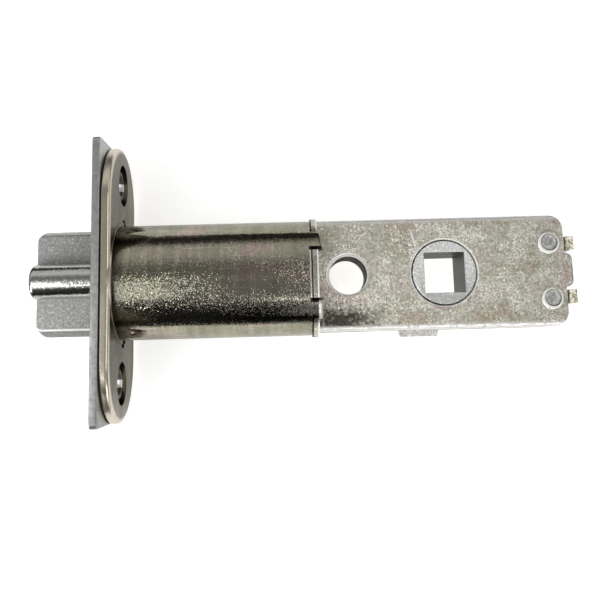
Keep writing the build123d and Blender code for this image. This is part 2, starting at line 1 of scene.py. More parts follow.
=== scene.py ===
# %% [markdown]
# A tubular deadlatch is the part of a door lock that sits in the door's edge. The CAD frame already
# holds every piece at its true size and place, in metres. This lesson gives the pieces their worn,
# plated surfaces, softens the edges that the press and the mould left, and lights the whole as a
# small product laid on a white table.

# %% Load the frame
import json
from math import radians

import bpy
from mathutils import Matrix, Vector


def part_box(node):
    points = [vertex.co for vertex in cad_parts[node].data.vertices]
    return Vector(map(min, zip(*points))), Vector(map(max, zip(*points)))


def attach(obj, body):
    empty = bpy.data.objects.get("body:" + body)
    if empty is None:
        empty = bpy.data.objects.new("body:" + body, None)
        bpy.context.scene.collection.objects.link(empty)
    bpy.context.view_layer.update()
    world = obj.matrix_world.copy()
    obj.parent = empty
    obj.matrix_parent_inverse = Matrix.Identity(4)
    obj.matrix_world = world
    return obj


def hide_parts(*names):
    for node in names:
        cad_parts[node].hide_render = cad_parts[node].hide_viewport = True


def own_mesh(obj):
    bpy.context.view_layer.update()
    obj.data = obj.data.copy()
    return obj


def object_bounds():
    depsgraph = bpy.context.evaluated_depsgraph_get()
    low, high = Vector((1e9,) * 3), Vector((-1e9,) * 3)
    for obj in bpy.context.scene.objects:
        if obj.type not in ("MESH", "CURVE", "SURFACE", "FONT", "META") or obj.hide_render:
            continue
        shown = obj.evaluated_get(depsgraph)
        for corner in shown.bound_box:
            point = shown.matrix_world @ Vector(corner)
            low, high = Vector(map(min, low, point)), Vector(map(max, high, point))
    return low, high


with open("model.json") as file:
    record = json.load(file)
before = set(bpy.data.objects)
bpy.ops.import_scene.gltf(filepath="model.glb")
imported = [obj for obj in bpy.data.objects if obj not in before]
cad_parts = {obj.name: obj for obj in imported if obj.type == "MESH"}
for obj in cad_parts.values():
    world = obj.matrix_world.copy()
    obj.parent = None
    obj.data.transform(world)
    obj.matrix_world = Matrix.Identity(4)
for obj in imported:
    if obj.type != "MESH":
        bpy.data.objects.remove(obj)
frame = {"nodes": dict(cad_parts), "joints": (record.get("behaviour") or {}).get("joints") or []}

cad_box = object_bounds()
nodes = frame["nodes"]
MM = 0.001
print("pieces in the frame:", len(nodes), "box in mm:", [[round(v / MM, 1) for v in c] for c in cad_box])

# %% [markdown]
# Sheared and pressed steel never has a knife edge: the tool leaves a roll of a tenth of a millimetre
# that catches the light. It could be painted on, but a real bevel looks right from every side. Each
# visible piece is copied, its loose triangles are welded, flat neighbours are joined, and a narrow
# bevel is applied to the hard edges. The copy then stands for the CAD node.

# %% Copy a piece and weld its triangles
WELD = 0.002 * MM
FLAT_BELOW = radians(0.5)


def merged_copy(node, ending, join_flats=False):
    """A copy of a CAD node with its triangles welded, selected alone and active."""
    piece = bpy.data.objects.new(node + ending, nodes[node].data.copy())
    bpy.context.scene.collection.objects.link(piece)
    bpy.ops.object.select_all(action="DESELECT")
    piece.select_set(True)
    bpy.context.view_layer.objects.active = piece
    bpy.ops.object.mode_set(mode="EDIT")
    bpy.ops.mesh.select_all(action="SELECT")
    bpy.ops.mesh.remove_doubles(threshold=WELD)
    if join_flats:
        bpy.ops.mesh.dissolve_limited(angle_limit=FLAT_BELOW)
    bpy.ops.object.mode_set(mode="OBJECT")
    return piece


print("corners closer than", WELD / MM, "mm are welded")

# %% Soften the plates, the barrel's end and the castings
SMOOTH_BELOW = radians(25)
HARD_FROM = radians(35)


def roll_edges(piece, width):
    """Bevels the hard edges of the active piece and shades its soft ones smooth."""
    bevel = piece.modifiers.new("edge_roll", "BEVEL")
    bevel.width = width
    bevel.segments = 2
    bevel.limit_method = "ANGLE"
    bevel.angle_limit = HARD_FROM
    bpy.ops.object.modifier_apply(modifier=bevel.name)
    bpy.ops.object.shade_smooth_by_angle(angle=SMOOTH_BELOW)


def soften(node, width, body):
    """A bevelled copy of a CAD node that rides on the same body and stands for it."""
    piece = merged_copy(node, "_soft", join_flats=True)
    roll_edges(piece, width)
    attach(piece, body)
    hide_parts(node)
    print("softened", node, "faces:", len(piece.data.polygons))
    return piece


visible = dict(nodes)
for node, width, body in (
    ("faceplate", 0.15 * MM, "lock_case"),
    ("barrel", 0.14 * MM, "lock_case"),
    ("barrel_end_plate", 0.2 * MM, "lock_case"),
    ("case_cover", 0.15 * MM, "lock_case"),
    ("upper_rear_rivet", 0.1 * MM, "lock_case"),
    ("lower_rear_rivet", 0.1 * MM, "lock_case"),
    ("retractor_fork", 0.15 * MM, "bolt"),
    ("latch_bolt", 0.25 * MM, "bolt"),
):
    visible[node] = soften(node, width, body)

# %% [markdown]
# The hub turns in round holes of the case and must not fall out of them, so inside the case it has a
# collar. Through the thin gap around the hub the collar is what keeps light from shining through. It
# is a short tube with a wall and soft edges, joined to a merged copy of the hub so that both turn as
# one piece.

# %% Hub with its collar
HUB_X = 69.85 * MM
COLLAR_R = 6.62 * MM
COLLAR_LONG = 7.6 * MM
COLLAR_WALL = 0.4 * MM
COLLAR_ROLL = 0.08 * MM
hub_copy = merged_copy("hub", "_collared")
bpy.ops.object.shade_smooth_by_angle(angle=SMOOTH_BELOW)
bpy.ops.object.select_all(action="DESELECT")
bpy.ops.mesh.primitive_cylinder_add(
    vertices=96, radius=COLLAR_R, depth=COLLAR_LONG, end_fill_type="NOTHING",
    location=(HUB_X, 0, 0), rotation=(radians(90), 0, 0),
)
collar = bpy.context.object
bpy.ops.object.transform_apply(location=True, rotation=True, scale=True)
wall = collar.modifiers.new("wall", "SOLIDIFY")
wall.thickness = COLLAR_WALL
wall.offset = -1
bpy.ops.object.modifier_apply(modifier=wall.name)
roll_edges(collar, COLLAR_ROLL)
hub_copy.select_set(True)
bpy.context.view_layer.objects.active = hub_copy
bpy.ops.object.join()
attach(hub_copy, "hub")
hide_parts("hub")
visible["hub"] = hub_copy
print("collar of", round(2 * COLLAR_R / MM, 2), "mm inside the case, faces:", len(hub_copy.data.polygons))

# %% [markdown]
# All the finishes are grown from noise in the piece's own coordinates, so they need no pictures and
# stay put when a piece moves. A few small helpers keep the node trees readable: most of them add one
# node, set it and return the socket that the next step needs.

# %% Start a finish and put it on a piece
def start_finish(name, color, metal, rough):
    """A new material with its shader set, ready for noise to be linked in."""
    material = bpy.data.materials.new(name)
    material.use_nodes = True
    tree = material.node_tree
    shader = tree.nodes["Principled BSDF"]
    shader.inputs["Base Color"].default_value = (*color, 1)
    shader.inputs["Metallic"].default_value = metal
    shader.inputs["Roughness"].default_value = rough
    place = tree.nodes.new("ShaderNodeTexCoord").outputs["Object"]
    return material, tree, shader, place


def dress(material, *names):
    """Gives the named pieces one material."""
    for name in names:
        mesh = visible[name].data
        mesh.materials.clear()
        mesh.materials.append(material)
    print(material.name, "on", ", ".join(names))


print("pieces to dress:", len(visible))

# %% Patterns
def stretched(tree, place, scale, turn=(0, 0, 0)):
    """Coordinates turned and stretched, for marks that run one way."""
    mapping = tree.nodes.new("ShaderNodeMapping")
    mapping.inputs["Rotation"].default_value = [radians(a) for a in turn]
    mapping.inputs["Scale"].default_value = scale
    tree.links.new(place, mapping.inputs["Vector"])
    return mapping.outputs["Vector"]


def noise(tree, place, scale=1.0, detail=2.0, rough=0.5):
    """Noise between about 0.3 and 0.7."""
    texture = tree.nodes.new("ShaderNodeTexNoise")
    texture.inputs["Scale"].default_value = scale
    texture.inputs["Detail"].default_value = detail
    texture.inputs["Roughness"].default_value = rough
    tree.links.new(place, texture.inputs["Vector"])
    return texture.outputs["Fac"]


def ramp(tree, factor, *stops):
    """Colours by factor; a stop is its place and its colour or grey."""
    node = tree.nodes.new("ShaderNodeValToRGB")
    elements = node.color_ramp.elements
    while len(elements) < len(stops):
        elements.new(0.5)
    for element, (at, value) in zip(elements, stops):
        element.position = at
        element.color = (*value, 1) if isinstance(value, tuple) else (value, value, value, 1)
    tree.links.new(factor, node.inputs["Fac"])
    return node.outputs["Color"]


print("patterns: stretched coordinates, noise and ramps")

# %% [markdown]
# Colours are laid over one another like coats of paint. Each coat covers what the shader has so far,
# as strongly as a mask says, so that a later step needn't know how an earlier one was made.

# %% Sums and coats of colour
def feed(tree, value, socket):
    """Gives a socket its value: a number, a few numbers or what another socket says."""
    if hasattr(value, "is_output"):
        tree.links.new(value, socket)
    else:
        socket.default_value = value


def calc(tree, operation, a, b=0.0):
    """One sum on one or two values, each a number or a socket."""
    node = tree.nodes.new("ShaderNodeMath")
    node.operation = operation
    feed(tree, a, node.inputs[0])
    feed(tree, b, node.inputs[1])
    return node.outputs["Value"]


def mixed(tree, kind, factor, a, b):
    """Two colours mixed; the factor is a number or a socket."""
    node = tree.nodes.new("ShaderNodeMix")
    node.data_type = "RGBA"
    node.blend_type = kind
    for name, value in (("Factor", factor), ("A", a), ("B", b)):
        feed(tree, (*value, 1) if isinstance(value, tuple) else value, node.inputs[name])
    return node.outputs["Result"]


def paint(tree, shader, mask, color, kind="MIX"):
    """Lays a colour over the one that the shader has so far, as strongly as the mask says."""
    base = shader.inputs["Base Color"]
    tree.links.new(mixed(tree, kind, mask, base.links[0].from_socket, color), base)


print("coats: sums, mixed colours and paint")

# %% [markdown]
# The case and the barrel are zinc-plated steel with a thin passivation film. The film shows as soft
# clouds of olive, green and pink, over a grain of fine flecks. Handling has left fine scratches, most
# of them along the case. A picture of plate would have to be wrapped around the bends; noise in three
# dimensions goes around them by itself.

# %% Zinc plate of the barrel's end
PALE_ZINC = (0.92, 0.9, 0.81)
CASE_COLORS = ((0.83, 0.73, 0.57), (0.88, 0.86, 0.7), (1.0, 0.95, 0.8), (0.9, 0.76, 0.67))
CASE_FLECKS = ((0.36, 0.36), (0.46, 0.56), (0.55, 0.67), (0.63, 0.96))
CLOUD_STOPS = (0.36, 0.45, 0.54, 0.64)
FAINT = 0.3


def scratches(tree, place, scale, turn):
    """Thin lines: noise stretched along one direction and cut to its peaks."""
    lines = noise(tree, stretched(tree, place, scale, turn), detail=1.0)
    return ramp(tree, lines, (0.66, 0.0), (0.7, 1.0))


def zinc_plate(name, colors, flecks, metal, rough):
    """Zinc plate with clouds in four colours, fine flecks and faint scratches."""
    material, tree, shader, place = start_finish(name, colors[-1], metal, rough)
    clouds = noise(tree, stretched(tree, place, (90, 150, 150)), detail=3.0, rough=0.6)
    tree.links.new(ramp(tree, clouds, *zip(CLOUD_STOPS, colors)), shader.inputs["Base Color"])
    grain = noise(tree, place, scale=1700, detail=4.0, rough=0.8)
    paint(tree, shader, 1.0, ramp(tree, grain, *flecks), "MULTIPLY")
    along = scratches(tree, place, (110, 2400, 2400), (0, 14, 0))
    across = scratches(tree, place, (2200, 2200, 130), (0, 31, 0))
    lines = mixed(tree, "LIGHTEN", 1.0, along, across)
    paint(tree, shader, calc(tree, "MULTIPLY", lines, FAINT), PALE_ZINC)
    tree.links.new(ramp(tree, grain, (0.35, rough + 0.1), (0.65, rough - 0.08)), shader.inputs["Roughness"])
    return material


end_plate = zinc_plate("end_zinc_plate", CASE_COLORS, CASE_FLECKS, metal=0.8, rough=0.3)
dress(end_plate, "barrel_end_plate")

# %% [markdown]
# The zinc's crystals show as a speckle that sparkles under the lamp, because each of them has a face
# that leans its own way. A bump could do that, but it only tilts the edges of a cell. Here the shader's
# normal is turned by one amount over a whole cell. On the case some of the crystals are also bright, in
# clusters.

# %% Crystals of the case and of the barrel's end
def reopen(material):
    """The node tree, the shader and the coordinates of a material, to lay more over it."""
    tree = material.node_tree
    return tree, tree.nodes["Principled BSDF"], tree.nodes["Texture Coordinate"].outputs["Object"]


def vector(tree, operation, a, b=(0, 0, 0)):
    """One sum on one or two vectors, each three numbers or a socket."""
    node = tree.nodes.new("ShaderNodeVectorMath")
    node.operation = operation
    feed(tree, a, node.inputs[0])
    feed(tree, b, node.inputs[1])
    return node.outputs["Vector"]


def under(tree, value, limit):
    """1 where a value is less than a limit, else 0."""
    return calc(tree, "LESS_THAN", value, limit)


def crystal_faces(material, size, tilt, share):
    """A share of small cells lean their own way, so that they flash one by one under a lamp."""
    tree, shader, place = reopen(material)
    cells = tree.nodes.new("ShaderNodeTexVoronoi")
    cells.inputs["Scale"].default_value = 1 / size
    tree.links.new(place, cells.inputs["Vector"])
    chance = tree.nodes.new("ShaderNodeTexWhiteNoise")
    tree.links.new(cells.outputs["Position"], chance.inputs["Vector"])
    amount = calc(tree, "MULTIPLY", under(tree, chance.outputs["Value"], share), tilt)
    any_way = vector(tree, "SUBTRACT", cells.outputs["Color"], (0.5, 0.5, 0.5))
    lean = vector(tree, "MULTIPLY", any_way, amount)
    outward = tree.nodes.new("ShaderNodeNewGeometry").outputs["Normal"]
    leaning = vector(tree, "NORMALIZE", vector(tree, "ADD", outward, lean))
    tree.links.new(leaning, shader.inputs["Normal"])
    return chance.outputs["Value"]


def speckled_plate(name, share, least_bright, most_bright):
    """The case's zinc plate, with leaning crystals and clusters of bright ones."""
    material = zinc_plate(name, CASE_COLORS, CASE_FLECKS, metal=0.35, rough=0.4)
    chance = crystal_faces(material, size=0.26 * MM, tilt=0.7, share=share)
    tree, shader, place = reopen(material)
    cluster = noise(tree, place, scale=260, detail=3.0)
    limit = ramp(tree, cluster, (0.44, least_bright), (0.64, most_bright))
    paint(tree, shader, under(tree, chance, limit), PALE_ZINC)
    return material


crystal_faces(end_plate, size=0.25 * MM, tilt=0.3, share=0.4)
case_plate = speckled_plate("case_zinc_plate", share=0.4, least_bright=0.0, most_bright=0.44)
dress(case_plate, "case_body")

# %% [markdown]
# The barrel is smoother than the case and mirrors the room in long bands. Rolling has left faint rings
# around it, which are noise stretched around the axis. Its crystals are smaller. They lean most from the
# middle of its height downwards, where the light breaks up into glitter, and least at the top and the
# bottom. Heights on the barrel are shares of the bore in the door that the barrel goes into.

# %% Zinc plate of the barrel
DOOR_BORE = 25.4 * MM
BARREL_COLORS = ((0.45, 0.415, 0.3), (0.455, 0.45, 0.33), (0.52, 0.475, 0.365), (0.57, 0.455, 0.395))
BARREL_FLECKS = ((0.35, 0.75), (0.65, 1.0))
CRYSTAL_TILT = 0.38


def axes(tree, place):
    """The coordinates apart, as X, Y and Z."""
    apart = tree.nodes.new("ShaderNodeSeparateXYZ")
    tree.links.new(place, apart.inputs["Vector"])
    return apart.outputs


def rising(tree, value, whole):
    """0 at the lower end of a length that is centred on the axis, 1 at its upper end."""
    return calc(tree, "ADD", calc(tree, "DIVIDE", value, whole), 0.5)


barrel_plate = zinc_plate("barrel_zinc_plate", BARREL_COLORS, BARREL_FLECKS, metal=1.0, rough=0.11)
tree, shader, place = reopen(barrel_plate)
rings = noise(tree, stretched(tree, place, (650, 70, 70)))
paint(tree, shader, 1.0, ramp(tree, rings, (0.38, 0.8), (0.6, 1.0)), "MULTIPLY")
height = rising(tree, axes(tree, place)["Z"], DOOR_BORE)
glitter = ramp(tree, height, (0.16, 0.25), (0.24, 1.0), (0.6, 1.0), (0.68, 0.25))
crystal_faces(barrel_plate, size=0.13 * MM, tilt=calc(tree, "MULTIPLY", glitter, CRYSTAL_TILT), share=0.75)
dress(barrel_plate, "barrel")

# %% [markdown]
# Many marks have a place of their own. The end of the barrel is sheared: its bare burr and the lower tip of
# the fingers are painted bright as edge glints, and the seam and the slots there stay dark with oil. The
# barrel is greyer below the middle of its near side and darker low down towards the seam, and its root,
# where it comes out of the backplate, is painted dark as the backplate's shadow.
# Vertex colours would need a finer mesh for this. A mask needs none: it is a value worked out from the
# coordinates, 1 on the mark and 0 elsewhere. Two masks multiplied are 1 where both are, and the larger of
# two is 1 where either is.

# %% Masks by place
def past(tree, value, limit):
    """1 where a value is more than a limit, else 0."""
    return calc(tree, "GREATER_THAN", value, limit)


def both(tree, a, b):
    """Where two masks meet."""
    return calc(tree, "MULTIPLY", a, b)


def either(tree, a, b):
    """Where one or the other of two masks is."""
    return calc(tree, "MAXIMUM", a, b)


def from_middle(tree, value, middle=0.0):
    """How far a value is from a middle value, on either side."""
    return calc(tree, "ABSOLUTE", calc(tree, "SUBTRACT", value, middle))


SEAM_X = 43.0 * MM
SLOT_Z = 5.1 * MM
SLOT_HALF = 0.4 * MM
tree, shader, place = reopen(barrel_plate)
at = axes(tree, place)
off_z = from_middle(tree, at["Z"])
down = calc(tree, "DIVIDE", at["Z"], -DOOR_BORE / 2)
along = calc(tree, "DIVIDE", at["X"], SEAM_X)
print("seam at", SEAM_X / MM, "mm, slots at z = +-", SLOT_Z / MM, "mm")

# %% Greyer and darker zones of the barrel, and painted shadow at its root
ROOT = 3 * MM
HALF_GREYED = 0.5
OIL_AND_SHADE = (0.025, 0.024, 0.022)
GREYED_ZINC = (0.33, 0.315, 0.265)
root_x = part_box("backplate")[1][0]
# Below the middle of its near side the barrel is made greyer, and darker towards the left; low down towards
# the seam it is made darker.
below_middle = ramp(tree, down, (0.02, 0.0), (0.14, 1.0), (0.66, 1.0), (0.72, 0.0))
near_side_below_middle = both(tree, below_middle, under(tree, at["Y"], 0.0))
darker_left = both(tree, near_side_below_middle, ramp(tree, along, (0.12, 0.5), (0.6, 0.1)))
low_band = ramp(tree, down, (0.38, 0.0), (0.5, 1.0), (0.69, 1.0), (0.76, 0.0))
darker_low = both(tree, low_band, ramp(tree, along, (0.42, 0.0), (0.75, 0.85)))
# Over the first millimetres past the backplate the barrel is painted dark: a painted shadow where it comes
# out of the backplate.
past_root = calc(tree, "DIVIDE", calc(tree, "SUBTRACT", at["X"], root_x), ROOT)
darker_and_root_shade = either(tree, either(tree, darker_low, darker_left), ramp(tree, past_root, (0.15, 0.85), (0.8, 0.0)))
paint(tree, shader, calc(tree, "MULTIPLY", near_side_below_middle, HALF_GREYED), GREYED_ZINC)
paint(tree, shader, darker_and_root_shade, OIL_AND_SHADE)
print("barrel comes out of the backplate at", round(root_x / MM, 2), "mm")

# %% Sheared end of the barrel
BURR = 0.3 * MM
TIP = 0.9 * MM
TIP_SHARE = 0.65
GLINT_WHITE = (0.97, 0.96, 0.9)


def change_metal(tree, shader, mask, change):
    """Makes the shader more metallic, or less, where a mask is."""
    metal = shader.inputs["Metallic"]
    tree.links.new(calc(tree, "ADD", calc(tree, "MULTIPLY", mask, change), metal.default_value), metal)


barrel_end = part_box("barrel")[1][0]
in_slot = under(tree, from_middle(tree, off_z, SLOT_Z), SLOT_HALF)
paint(tree, shader, both(tree, in_slot, past(tree, at["X"], SEAM_X - SLOT_HALF)), OIL_AND_SHADE)
at_seam = under(tree, from_middle(tree, at["X"], SEAM_X), BURR)
burr = both(tree, at_seam, under(tree, off_z, SLOT_Z - SLOT_HALF))
lower_tip = both(tree, under(tree, at["Z"], -SLOT_Z), past(tree, at["X"], barrel_end - TIP))
# The bare burr along the seam and the lower tip of the fingers are painted bright and less metallic: painted
# highlights for the glints of these edges.
painted_glint = either(tree, burr, calc(tree, "MULTIPLY", lower_tip, TIP_SHARE))
paint(tree, shader, painted_glint, GLINT_WHITE)
change_metal(tree, shader, painted_glint, -0.7)
print("fingers end at", round(barrel_end / MM, 2), "mm")

# %% Oiled seam and painted burr glint of the end plate
BARREL_R = 11.85 * MM
SEAM_WIDE = 0.25 * MM
BURR_DEEP = 1.5 * BURR


def distance(tree, a, b):
    """How far two steps at right angles lead."""
    squares = calc(tree, "ADD", calc(tree, "POWER", a, 2), calc(tree, "POWER", b, 2))
    return calc(tree, "SQRT", squares)


plate_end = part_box("barrel_end_plate")[1][0]
tree, shader, place = reopen(end_plate)
at = axes(tree, place)
in_slot = under(tree, from_middle(tree, from_middle(tree, at["Z"]), SLOT_Z), SLOT_HALF)
paint(tree, shader, either(tree, in_slot, under(tree, at["X"], SEAM_X + SEAM_WIDE)), OIL_AND_SHADE)
# The sheared rear edge of the end plate is painted bright and less metallic: a painted highlight for the
# glint of its burr.
rear = both(tree, past(tree, at["X"], plate_end - BURR), calc(tree, "SUBTRACT", 1.0, in_slot))
burr = both(tree, rear, past(tree, distance(tree, at["Y"], at["Z"]), BARREL_R - BURR_DEEP))
paint(tree, shader, burr, GLINT_WHITE)
change_metal(tree, shader, burr, -0.5)
print("end plate ends at", round(plate_end / MM, 2), "mm")

# %% [markdown]
# The near side of the case has marks of its own: a darker patch at its lower front corner, a scratch in
# front of the hub, a tone that darkens towards the rear, and bends and rims painted bright as highlights.
# Round marks are ellipses on the side. Noise added to the distance from its middle gives the patch a ragged
# edge.

# %% Dark patch, darkening to the rear and scratch of the case
DARK_PATCH = (0.1, 0.1, 0.09)
SCRATCH = (0.95, 0.94, 0.9)
CASE_SCALE = 100 * MM
RAGGED = 1.8
FARTHEST = 2.0


def away_from(tree, place, centre, reach, turn=0):
    """Distance from an ellipse's middle, 1 at its edge; centre and reach are millimetres in x and z."""
    mapping = tree.nodes.new("ShaderNodeMapping")
    mapping.vector_type = "TEXTURE"
    mapping.inputs["Location"].default_value = (centre[0] * MM, 0, centre[1] * MM)
    mapping.inputs["Rotation"].default_value = (0, radians(turn), 0)
    mapping.inputs["Scale"].default_value = (reach[0] * MM, 1, reach[1] * MM)
    tree.links.new(place, mapping.inputs["Vector"])
    length = tree.nodes.new("ShaderNodeVectorMath")
    length.operation = "LENGTH"
    tree.links.new(mapping.outputs["Vector"], length.inputs[0])
    return length.outputs["Value"]


tree, shader, place = reopen(case_plate)
at = axes(tree, place)
# The lower front corner of the case is made darker in a patch with a ragged edge.
patches = calc(tree, "MULTIPLY", noise(tree, place, scale=1300, detail=4.0, rough=0.7), RAGGED)
spread = calc(tree, "ADD", away_from(tree, place, centre=(48.5, -9.4), reach=(11.0, 5.0)), patches)
dark_patch = ramp(tree, calc(tree, "DIVIDE", spread, FARTHEST), (0.57, 1.0), (0.86, 0.0))
paint(tree, shader, dark_patch, DARK_PATCH, "MULTIPLY")
# The case is made darker towards the rear.
along = calc(tree, "DIVIDE", at["X"], CASE_SCALE)
paint(tree, shader, 1.0, ramp(tree, along, (0.52, 1.0), (0.7, 0.94), (0.92, 0.8)), "MULTIPLY")
off_scratch = away_from(tree, place, centre=(63.8, 7.0), reach=(0.26, 2.5), turn=-15)
paint(tree, shader, ramp(tree, off_scratch, (0.5, 0.95), (1.0, 0.0)), SCRATCH)
print("smudge, rearward_darkening and scratch on", case_plate.name)

# %% Painted highlights on the bends and rims of the case
CASE_HIGHLIGHT = (0.98, 0.97, 0.94)
CASE_BEND = 1.2 * MM
near_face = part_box("case_body")[0][1]
bend_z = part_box("case_cover")[1][2] - CASE_BEND
over = calc(tree, "SUBTRACT", from_middle(tree, at["Z"]), bend_z)
near_side = under(tree, at["Y"], near_face + 2 * CASE_BEND)
on_bend = both(tree, calc(tree, "DIVIDE", over, CASE_BEND / 2), near_side)
# The near bends and the rims of the holes and rivets are painted pale and made more metallic: painted
# highlights. The rings of the round hole and the rivets sit a little off-centre, so they are widest where
# the light falls.
highlighted = ramp(tree, on_bend, (0.0, 0.0), (1.0, 1.0))
change_metal(tree, shader, highlighted, 0.55)
for name, centre, radius in (
    ("hub", (HUB_X / MM, 0), 7.0),
    ("round hole", (50.35, 0.15), 4.36),
    ("upper rivet", (91.1, 5.35), 2.12),
    ("lower rivet", (91.1, -5.85), 2.12),
):
    off_hole = away_from(tree, place, centre, (radius, radius))
    highlighted = either(tree, highlighted, ramp(tree, off_hole, (0.98, 1.0), (1.0, 0.0)))
    print("rim of the", name, "with radius", radius, "mm")
paint(tree, shader, highlighted, CASE_HIGHLIGHT)
print("bends from z = +-", round(bend_z / MM, 1), "mm")

# %% [markdown]
# The two small blocks at the rear of the case are the ends of tabs that were sheared through the
# sheet. The cut face keeps fine streaks from the die and a yellow tint. They belong to the cover, so
# its material changes colour by place: the tabs are all of the cover that reaches the near side.

# %% Cover with sheared tabs
TAB_DEEP = 0.9 * MM
cover_plate = speckled_plate("cover_zinc_plate", share=0.5, least_bright=0.02, most_bright=0.24)
tree, shader, place = reopen(cover_plate)
on_tab = under(tree, axes(tree, place)["Y"], near_face + TAB_DEEP)
streaks = noise(tree, stretched(tree, place, (2600, 300, 1500)))
sheared = ramp(tree, streaks, (0.4, (0.3, 0.27, 0.17)), (0.5, (0.75, 0.7, 0.52)), (0.6, (1.0, 0.97, 0.84)))
paint(tree, shader, on_tab, sheared)
dress(cover_plate, "case_cover")

# %% [markdown]
# The bolt, the hub and the fork are zinc castings. The mould's blasted skin leaves an even, fine grain.
# Modelling it would take millions of faces, so it is a bump with a little colour in its hollows.

# %% Cast zinc
def bump(tree, shader, height, depth):
    """Small relief on the shader's normal."""
    node = tree.nodes.new("ShaderNodeBump")
    node.inputs["Strength"].default_value = 1.0
    node.inputs["Distance"].default_value = depth
    tree.links.new(height, node.inputs["Height"])
    tree.links.new(node.outputs["Normal"], shader.inputs["Normal"])


def cast_zinc(name, color, grain, depth, rough):
    """Die-cast skin with a fine even grain and bright specks."""
    material, tree, shader, place = start_finish(name, color, metal=0.25, rough=rough)
    pits = noise(tree, place, scale=grain, detail=3.0, rough=0.7)
    shade = ramp(tree, pits, (0.36, 0.55), (0.46, 0.72), (0.57, 0.79), (0.63, 1.25))
    tree.links.new(mixed(tree, "MULTIPLY", 1.0, color, shade), shader.inputs["Base Color"])
    tree.links.new(ramp(tree, pits, (0.35, rough + 0.12), (0.65, rough - 0.08)), shader.inputs["Roughness"])
    bump(tree, shader, pits, depth)
    return material


bolt_casting = cast_zinc("bolt_casting", (0.53, 0.53, 0.515), grain=1900, depth=0.06 * MM, rough=0.4)
dress(bolt_casting, "latch_bolt")
hub_casting = cast_zinc("hub_casting", (0.95, 0.95, 0.93), grain=2600, depth=0.04 * MM, rough=0.36)
dress(hub_casting, "hub")
fork_casting = cast_zinc("fork_casting", (0.9, 0.9, 0.87), grain=2400, depth=0.03 * MM, rough=0.4)
dress(fork_casting, "retractor_fork")

# %% [markdown]
# The lower ridge of the bolt, where its flat side meets the round, is painted bright as a highlight, and a
# dark line runs along the upper one. Their height follows from the round's radius and from how far the flat
# stands off the middle. The round below is painted dark as shade, and the flat above the plunger as the
# plunger's shadow.

# %% Painted highlight, dark line and painted shade on the bolt
RIDGE_WIDE = 0.3 * MM
FLAT_DEEP = 0.4 * MM
SHADE_AND_LINE_GREY = (0.55, 0.55, 0.54)
RIDGE_HIGHLIGHT = (0.95, 0.95, 0.93)
bolt_low, bolt_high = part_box("latch_bolt")
ridge_z = (bolt_high[2] ** 2 - bolt_low[1] ** 2) ** 0.5
tree, shader, place = reopen(bolt_casting)
at = axes(tree, place)
on_flat = under(tree, at["Y"], bolt_low[1] + FLAT_DEEP)
from_ridge = from_middle(tree, from_middle(tree, at["Z"]), ridge_z)
near_ridge = ramp(tree, calc(tree, "DIVIDE", from_ridge, RIDGE_WIDE), (0.4, 1.0), (1.0, 0.0))
on_ridge = both(tree, near_ridge, on_flat)
lower_ridge = both(tree, on_ridge, under(tree, at["Z"], 0.0))
upper_ridge = calc(tree, "SUBTRACT", on_ridge, lower_ridge)
up_flat = ramp(tree, calc(tree, "DIVIDE", at["Z"], ridge_z), (0.3, 0.0), (0.36, 0.75), (0.62, 0.0))
# The flat above the plunger is painted darker as the plunger's shadow, and the round below the lower ridge
# as shade; the upper ridge gets a dark line.
shade_and_dark_line = either(tree, calc(tree, "MULTIPLY", upper_ridge, 0.7), both(tree, up_flat, on_flat))
shade_and_dark_line = either(tree, shade_and_dark_line, under(tree, at["Z"], -ridge_z))
paint(tree, shader, shade_and_dark_line, SHADE_AND_LINE_GREY, "MULTIPLY")
# The lower ridge is painted bright as a highlight.
paint(tree, shader, lower_ridge, RIDGE_HIGHLIGHT)
print("ridges at z = +-", round(ridge_z / MM, 1), "mm")

# %% [markdown]
# The square hole is broached through the hub, and its walls are painted dark as the shade inside the hole. A
# second material would need the walls' faces to be picked out; a mask only needs the square's size. The
# hub's face is a little darker at its foot than at its top.

# %% Painted shade on the walls of the square hole
SQUARE_HALF = 4.05 * MM
SQUARE_EDGE = 0.03 * MM
HUB_WIDE = 14 * MM
WALL_SHADE = (0.05, 0.05, 0.047)
tree, shader, place = reopen(hub_casting)
at = axes(tree, place)
off_centre = either(tree, from_middle(tree, at["X"], HUB_X), from_middle(tree, at["Z"]))
in_square = under(tree, off_centre, SQUARE_HALF + SQUARE_EDGE)
height = rising(tree, at["Z"], HUB_WIDE)
paint(tree, shader, 1.0, ramp(tree, height, (0.1, 0.64), (0.5, 0.9), (0.85, 1.1)), "MULTIPLY")
# The walls of the square hole are painted nearly black: painted shade.
paint(tree, shader, in_square, WALL_SHADE)
print("square hole half width", round(SQUARE_HALF / MM, 2), "mm")

# %% [markdown]
# The faceplate is satin steel: the belt that finished it left short fine lines. The backplate behind
# it is drawn and nickel-plated, so it is smoother and warmer. The plunger is a polished pin whose
# marks run along it, with a little glitter. All these lines are noise stretched along the way that the
# tool went.

# %% Satin, nickel and polished steel
def lined_steel(name, color, rough, scale, contrast, depth=0.0, metal=1.0):
    """Steel with fine lines that run along the smallest of the three scales."""
    material, tree, shader, place = start_finish(name, color, metal, rough)
    lines = noise(tree, stretched(tree, place, scale), detail=3.0, rough=0.6)
    shade = ramp(tree, lines, (0.35, 1.0 - contrast), (0.6, 1.0))
    tree.links.new(mixed(tree, "MULTIPLY", 1.0, color, shade), shader.inputs["Base Color"])
    tree.links.new(ramp(tree, lines, (0.35, rough + 0.08), (0.65, rough - 0.05)), shader.inputs["Roughness"])
    if depth:
        bump(tree, shader, lines, depth)
    return material


